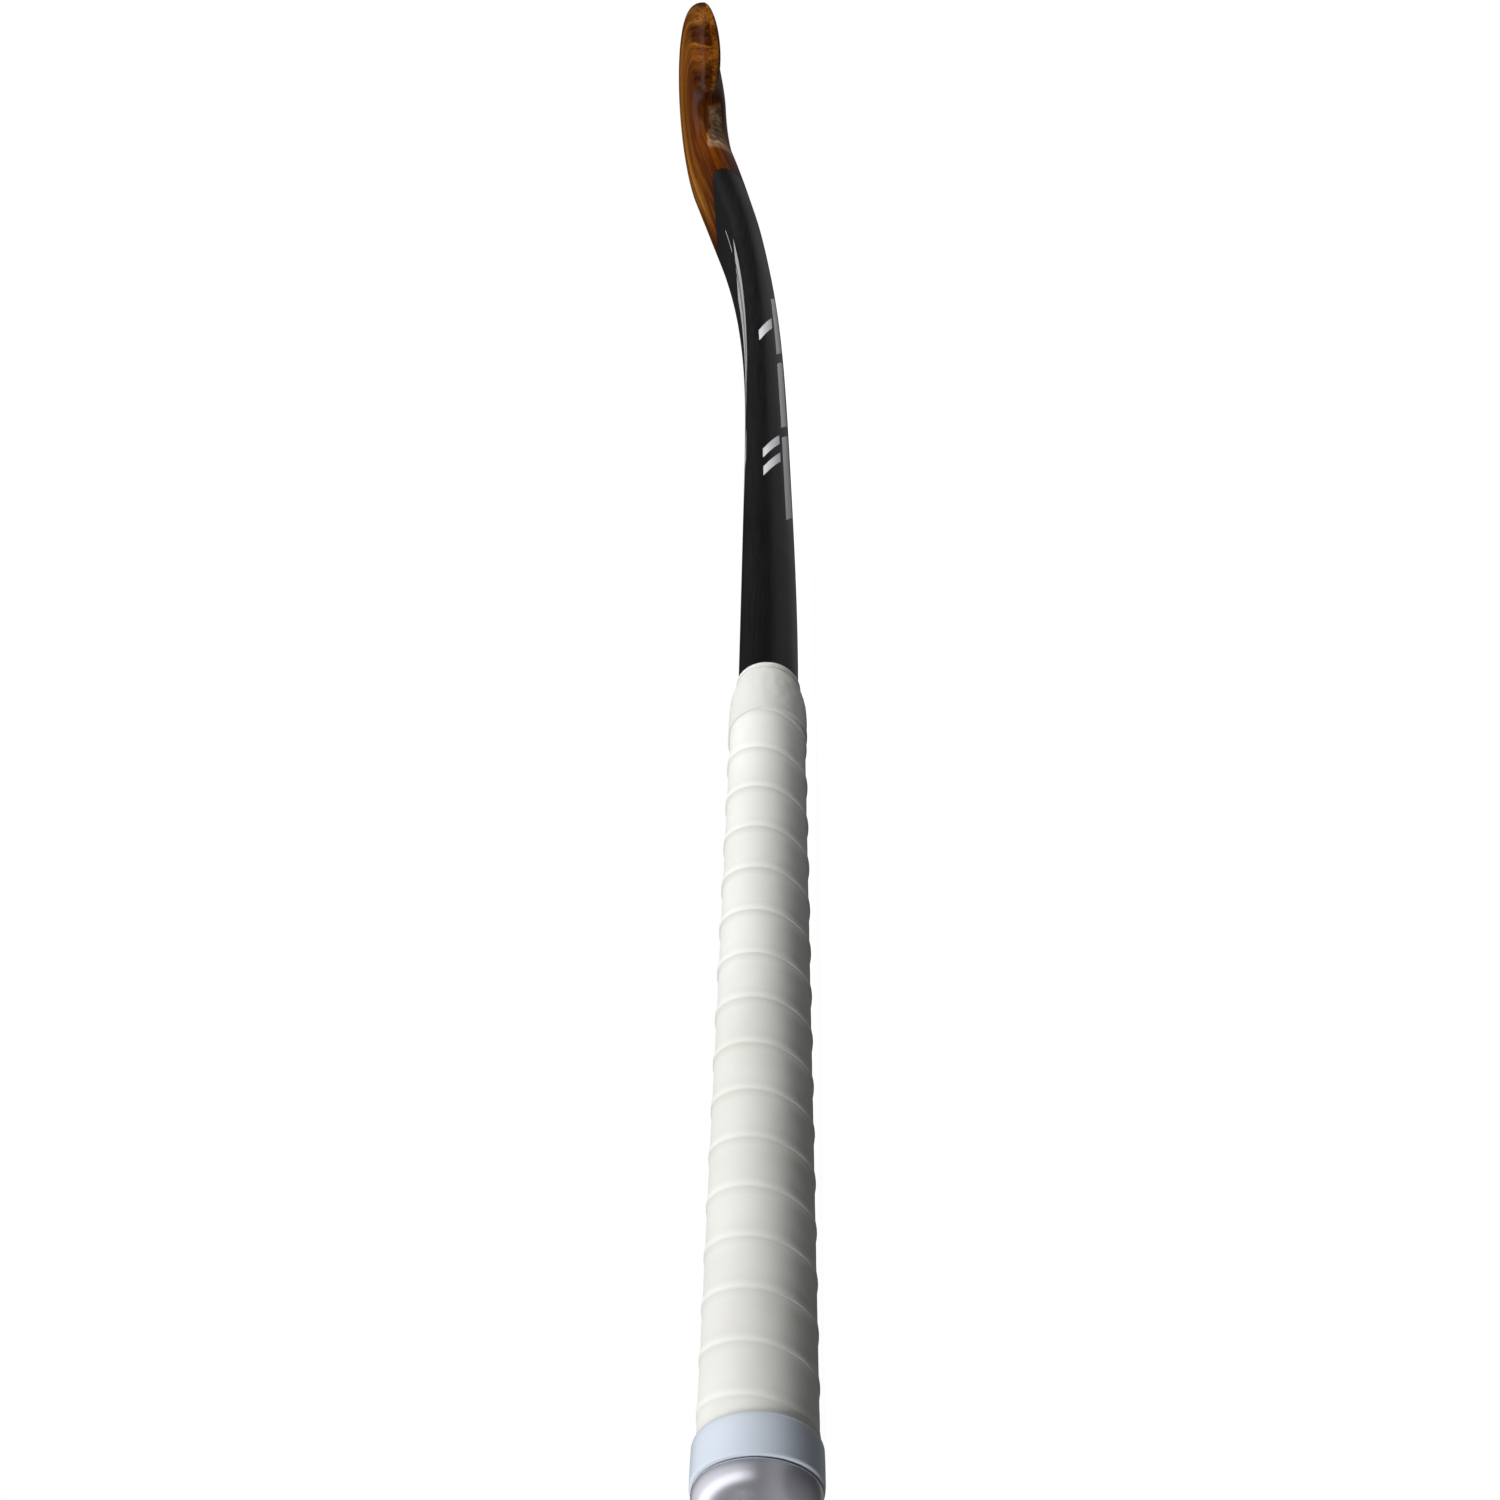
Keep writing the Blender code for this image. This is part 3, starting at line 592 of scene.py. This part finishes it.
def wrap_shape(row, column):
    turn = FIRST_TURN + row//len(LAPS)
    phase, rise = LAPS[row % len(LAPS)]
    share = column/WRAP_COLUMNS
    turns = turn + share + phase
    wound = turns if phase == 1.0 else turn + share
    wander = WANDER*noise.noise(Vector((wound*2.3, 0.0, 4.1)))
    s = FIRST_SEAM + BUTT_PITCH*turns + PITCH_GROWTH*turns*turns/2 + wander
    ripple = RIPPLE*noise.noise(Vector((wound*19.0, phase % 1.0*3.0, 1.7)))
    pull = PULL*noise.noise(Vector((wound*6.0, phase % 1.0*9.0, 8.3)))
    lap = OVERLAP*mix(THIN_LAP, THICK_LAP, linear(0.0, THICK_FROM, s))*rise
    u, z = section(s, share, WRAP_OUT + lap + ripple + pull)[:2]
    return (s, u, z), (turns*TURN_LENGTH, phase*TAPE_WIDTH), (0.0, 0.0, 0.0)


# Limits across the tape: its two edges, on the lap's crest, are lightened as a painted highlight, and the
# seam between two turns is darkened by dirt and painted shade
LOWER_EDGE, UPPER_EDGE = (0.0035, 0.0005), (0.0225, 0.0232)
SEAM_START, SEAM_END = (0.0185, 0.0219), (0.0223, 0.0221)
COLLAR_START = 0.3682
tape, tree, shader = finish("white_tape", Specular_IOR_Level=0.35, Subsurface_Weight=0.05,
                            Subsurface_Scale=0.002, Subsurface_Radius=(1.0, 1.0, 1.0), Sheen_Weight=0.08)
spot = object_place(tree)
moulded = placed(tree, GRAIN, Vector=spot, Scale=1400.0)
lay = add(tree, "ShaderNodeUVMap", uv_map="lay").outputs["UV"]
drag = placed(tree, FIBRES, Vector=lay, Along=60.0, Across=500.0)["Streak"]
across = parts_of(tree, lay)["Y"]
length = maths(tree, "SUBTRACT", parts_of(tree, spot)["X"], BUTT.x)
tape_colour = colours(tree, ranged(tree, moulded["Clouding"], 0.35, 0.75), (0.72, 0.72, 0.69, 1.0),
                  (0.64, 0.635, 0.595, 1.0))
tape_colour = colours(tree, ranged(tree, drag, 0.55, 0.8, 0.0, 0.25), tape_colour, (0.58, 0.575, 0.54, 1.0))
# Painted highlight: the crest of each lap is lightened where it faces the light
crest_highlight = maths(tree, "ADD", ranged(tree, across, *LOWER_EDGE), ranged(tree, across, *UPPER_EDGE))
crest_highlight = maths(tree, "MULTIPLY", crest_highlight, 0.35, clamp=True)
tape_colour = colours(tree, crest_highlight, tape_colour, (0.86, 0.86, 0.83, 1.0))
# Seam: dirt together with painted shade on the slope that faces away from the light
seam_dirt_and_shade = folded(tree, "MULTIPLY", ranged(tree, across, *SEAM_START), ranged(tree, across, *SEAM_END),
                ranged(tree, length, 0.020, 0.260, 0.45, 1.0), 0.32)
tape_colour = colours(tree, seam_dirt_and_shade, tape_colour, (0.34, 0.335, 0.30, 1.0))
on_collar = ranged(tree, length, COLLAR_START - 0.0004, COLLAR_START + 0.0006)
tape_colour = colours(tree, on_collar, tape_colour, (0.61, 0.61, 0.58, 1.0))
height = maths(tree, "MULTIPLY_ADD", drag, 1.5, moulded["Height"])
wire(tree, shader, tape_colour, ranged(tree, moulded["Clouding"], 0.3, 0.7, 0.48, 0.62), height, 0.00004, 0.5)

wound = mapped((TURNS + 1)*len(LAPS), WRAP_COLUMNS, wrap_shape)
bmesh.ops.remove_doubles(wound, verts=wound.verts[:], dist=MERGE_DISTANCE)
for at, side in ((WRAP_START, -1), (WRAP_END, 1)):
    bmesh.ops.bisect_plane(wound, geom=wound.verts[:] + wound.edges[:] + wound.faces[:], dist=SLIVER,
                           plane_co=BUTT + Vector((at, 0, 0)), plane_no=(side, 0, 0), clear_outer=True)
settled(wound, "wound_tape", tape, "white_tape", "grip_wrap")


# Top tape: a short length of the same tape, drawn tight over the end of the winding and down onto the shaft.
# It makes a round collar, a cone above it with faint creases, and a thin folded lip at the top.
COLLAR_FOLD, COLLAR_END = 0.3978, reach("grip_top_tape")[1]
CREASE_DEPTH, CREASE_LIMIT, CREASE_ROUND, CREASE_ALONG = 0.00028, 0.35, 3, 160
ROWS_PER_POINT = 3

# Places along the stick, and how far the tape stands out from the handle there
COLLAR_PROFILE = ((COLLAR_START, 0.0026), (0.3686, 0.0031), (0.3698, 0.0034), (0.3720, 0.0034),
                  (0.3760, 0.0034), (0.3800, 0.0034), (0.3840, 0.0033), (0.3875, 0.0031), (0.3905, 0.0027),
                  (0.3932, 0.0021), (0.3957, 0.0014), (0.3974, 0.0009), (0.3979, 0.0006), (0.3984, 0.0006),
                  (0.3988, 0.0010), (COLLAR_END - 0.0016, 0.0010), (COLLAR_END - 0.0006, 0.0009),
                  (COLLAR_END, 0.0006), (COLLAR_END, 0.0003))


def along_profile(profile, row):
    """(s, outward offset) at a row, with the same number of rows from each point of a profile to the next."""
    position = row/ROWS_PER_POINT
    index = min(int(position), len(profile) - 2)
    return [mix(a, b, position - index) for a, b in zip(profile[index], profile[index + 1])]


def collar_shape(row, column):
    s, out = along_profile(COLLAR_PROFILE, row)
    share = 0.5 + column/WRAP_COLUMNS
    loose = math.sin(math.pi*linear(COLLAR_START, COLLAR_FOLD, s))
    turn = share*math.tau
    spot = Vector((math.cos(turn)*CREASE_ROUND, math.sin(turn)*CREASE_ROUND, s*CREASE_ALONG))
    crease = max(CREASE_LIMIT - abs(noise.noise(spot)), 0)/CREASE_LIMIT
    u, z, arc = section(s, share, out - CREASE_DEPTH*loose*crease)
    return (s, u, z), (seam_arc(arc, column, WRAP_COLUMNS), s), (0.0, 0.0, 0.0)


collar = mapped(ROWS_PER_POINT*(len(COLLAR_PROFILE) - 1), WRAP_COLUMNS, collar_shape)
settled(collar, "top_tape", tape, "white_tape", "grip_top_tape")


# End band: a smooth ice-blue plastic ring with rounded edges. It covers the start of the winding and butts on
# the cap.
BAND_START, BAND_END = reach("end_band")
BAND_PROFILE = ((BAND_START, 0.0029), (BAND_START, 0.0034), (BAND_START + 0.0003, 0.0038),
                (BAND_START + 0.0008, 0.0040), (0.0180, 0.0040), (0.0240, 0.0040),
                (BAND_END - 0.0012, 0.0039), (BAND_END - 0.0004, 0.0037), (BAND_END, 0.0033),
                (BAND_END, 0.0026))


def band_shape(row, column):
    s, out = along_profile(BAND_PROFILE, row)
    u, z, arc = section(s, 0.5 + column/WRAP_COLUMNS, out)
    return (s, u, z), (s, arc), (0.0, 0.0, 0.0)


ice = moulded_look("ice_blue_plastic", 1600.0, (0.55, 0.61, 0.70), (0.60, 0.66, 0.73), (0.3, 0.42),
                   0.00002, 0.4, Coat_Weight=0.25, Coat_Roughness=0.2)
band = mapped(ROWS_PER_POINT*(len(BAND_PROFILE) - 1), WRAP_COLUMNS, band_shape)
settled(band, "end_ring", ice, "ice_band", "end_band")


# Butt cap: a moulded dome of glossy grey plastic with a pearly sheen and a small gate boss in its middle. Its
# plug holds it in the handle, and a dark groove parts it from the band.
CAP_LENGTH, CAP_OUT = reach("butt_cap")[1], 0.0034
DOME_SHARE, DOME_FULLNESS = 0.9, 0.7
GROOVE_START, GROOVE_DEPTH = 0.00152, 0.00096
BOSS_HEIGHT, BOSS_RADIUS = 0.0008, 0.0025
CAP_ROWS, BOSS_ROWS, GROOVE_ROWS = 48, 6, 4


def cap_shape(row, column):
    """Boss, dome and groove in turn. scale shrinks the butt's section towards the middle."""
    boss_scale = BOSS_RADIUS/(BUTT_WIDTH/2 + CAP_OUT)
    out = CAP_OUT
    if row <= BOSS_ROWS:
        angle = math.pi/2*row/BOSS_ROWS
        s, scale = BOSS_HEIGHT*(1 - math.cos(angle)), math.sin(angle)*boss_scale
    elif row <= CAP_ROWS - GROOVE_ROWS:
        angle = math.pi/2*(row - BOSS_ROWS)/(CAP_ROWS - GROOVE_ROWS - BOSS_ROWS)
        s = BOSS_HEIGHT + (CAP_LENGTH - BOSS_HEIGHT)*(1 - math.cos(angle))*DOME_SHARE
        scale = max(math.sin(angle)**DOME_FULLNESS, boss_scale)
    else:
        part = (row - CAP_ROWS + GROOVE_ROWS)/GROOVE_ROWS
        s, scale = mix(CAP_LENGTH - GROOVE_START, CAP_LENGTH, part), 1.0
        out -= GROOVE_DEPTH*(1 - math.sqrt(1 - part**2))
    u, z, arc = section(s, 0.5 + column/WRAP_COLUMNS, out)
    return (s, u*scale, z*scale), (s, arc), (0.0, 0.0, 0.0)


cap = moulded_look("glossy_grey_plastic", 700.0, (0.60, 0.60, 0.67), (0.65, 0.65, 0.72), (0.22, 0.30),
                   0.00003, 0.3, Metallic=0.65, Coat_Weight=0.7, Coat_Roughness=0.08)
settled(mapped(CAP_ROWS, WRAP_COLUMNS, cap_shape), "domed_cap", cap, "cap_plastic", "butt_cap")


# Floor: a plain white sweep of paper. It glows enough to stay white to the camera, and it throws no light
# back on the stick.
bm = bmesh.new()
bmesh.ops.create_grid(bm, x_segments=1, y_segments=1, size=6.0)
mesh = bpy.data.meshes.new("floor")
bm.to_mesh(mesh)
bm.free()
floor = bpy.data.objects.new("floor", mesh)
bpy.context.scene.collection.objects.link(floor)
paper = finish("white_paper", Base_Color=(0.10, 0.10, 0.10, 1.0), Roughness=1.0, Specular_IOR_Level=0.0,
               Emission_Color=(1.0, 1.0, 1.0, 1.0), Emission_Strength=0.97)[0]
mesh.materials.append(paper)
floor.visible_diffuse = False
floor.visible_glossy = False


# Light: a large soft box over the head's end, one behind the butt and a faint one beside the sleeve, none of
# them seen in reflections. The room is dim to surfaces and white to the camera. Reflections show it dark,
# with a light band low down and a bright strip overhead.
def soft_box(name, spot, target, size, power, spread=math.pi):
    lamp = bpy.data.lights.new(name, "AREA")
    lamp.shape = "RECTANGLE"
    lamp.spread = spread
    lamp.size, lamp.size_y = size
    lamp.energy = power
    made = bpy.data.objects.new(name, lamp)
    made.location = spot
    made.rotation_euler = (Vector(target) - Vector(spot)).to_track_quat("-Z", "Y").to_euler()
    made.visible_camera = False
    made.visible_glossy = False
    bpy.context.scene.collection.objects.link(made)


soft_box("key_light", (1.60, -1.15, 1.90), (0.0, 0.0, 0.0), (1.2, 1.2), 84.0)
soft_box("butt_light", (-2.60, -0.90, 0.90), (-0.3, 0.0, 0.0), (1.0, 1.0), 54.0)
soft_box("side_light", (0.36, -1.60, 0.20), (0.30, 0.0, 0.03), (0.4, 0.3), 0.8, math.radians(28))

world = bpy.context.scene.world or bpy.data.worlds.new("room")
bpy.context.scene.world = world
world.use_nodes = True
tree = world.node_tree
tree.nodes.clear()
way = parts_of(tree, add(tree, "ShaderNodeTexCoord").outputs["Generated"])
height = ranged(tree, way["Z"], -1.0, 1.0)
room = ramp(tree, height, (0.0, grey(0.10)), (0.5, grey(0.14)), (1.0, grey(0.35)))
mirrored = ramp(tree, height, (0.05, grey(0.03)), (0.14, grey(0.06)), (0.20, grey(0.24)), (0.30, grey(0.22)),
                (0.46, grey(0.012)), (0.60, grey(0.006)), (0.70, grey(0.006)), (0.86, grey(0.04)),
                (0.95, grey(0.20)))
overhead = ramp(tree, ranged(tree, way["X"], -1.0, 1.0), (0.26, grey(0.0)), (0.36, grey(1.8)),
                (0.47, grey(1.8)), (0.55, grey(0.80)), (0.67, grey(0.60)), (0.77, grey(0.0)))
overhead = colours(tree, ranged(tree, height, 0.50, 0.78), (0.0, 0.0, 0.0, 1.0), overhead)
mirrored = colours(tree, 1.0, mirrored, overhead, "ADD")
path = add(tree, "ShaderNodeLightPath").outputs
room = colours(tree, path["Is Glossy Ray"], room, mirrored)
room = colours(tree, path["Is Camera Ray"], room, (1.0, 1.0, 1.0, 1.0))
glow = add(tree, "ShaderNodeBackground", {"Color": room, "Strength": 1.0})
tree.links.new(glow.outputs[0], add(tree, "ShaderNodeOutputWorld").inputs["Surface"])
bpy.context.scene.view_settings.view_transform = "Standard"


# Camera: close behind and over the toe's side of the butt, looking up the stick with the playing face to the
# left.
FOCAL_LENGTH, SENSOR_WIDTH = 58.03, 36.0
EYE = (-0.8534, -0.6288, 0.0422)
RIGHT, UP, AHEAD = (0.01457, -0.03757, -0.99918), (0.6592, -0.75105, 0.03785), (0.75183, 0.65922, -0.01383)
lens = bpy.data.cameras.new("photo_camera")
lens.lens, lens.sensor_width, lens.sensor_fit = FOCAL_LENGTH, SENSOR_WIDTH, "HORIZONTAL"
lens.clip_start = 0.01
camera = bpy.data.objects.new("photo_camera", lens)
turned = Matrix((RIGHT, UP, [-part for part in AHEAD])).transposed()
camera.matrix_world = Matrix.Translation(EYE) @ turned.to_4x4()
bpy.context.scene.collection.objects.link(camera)
bpy.context.scene.camera = camera
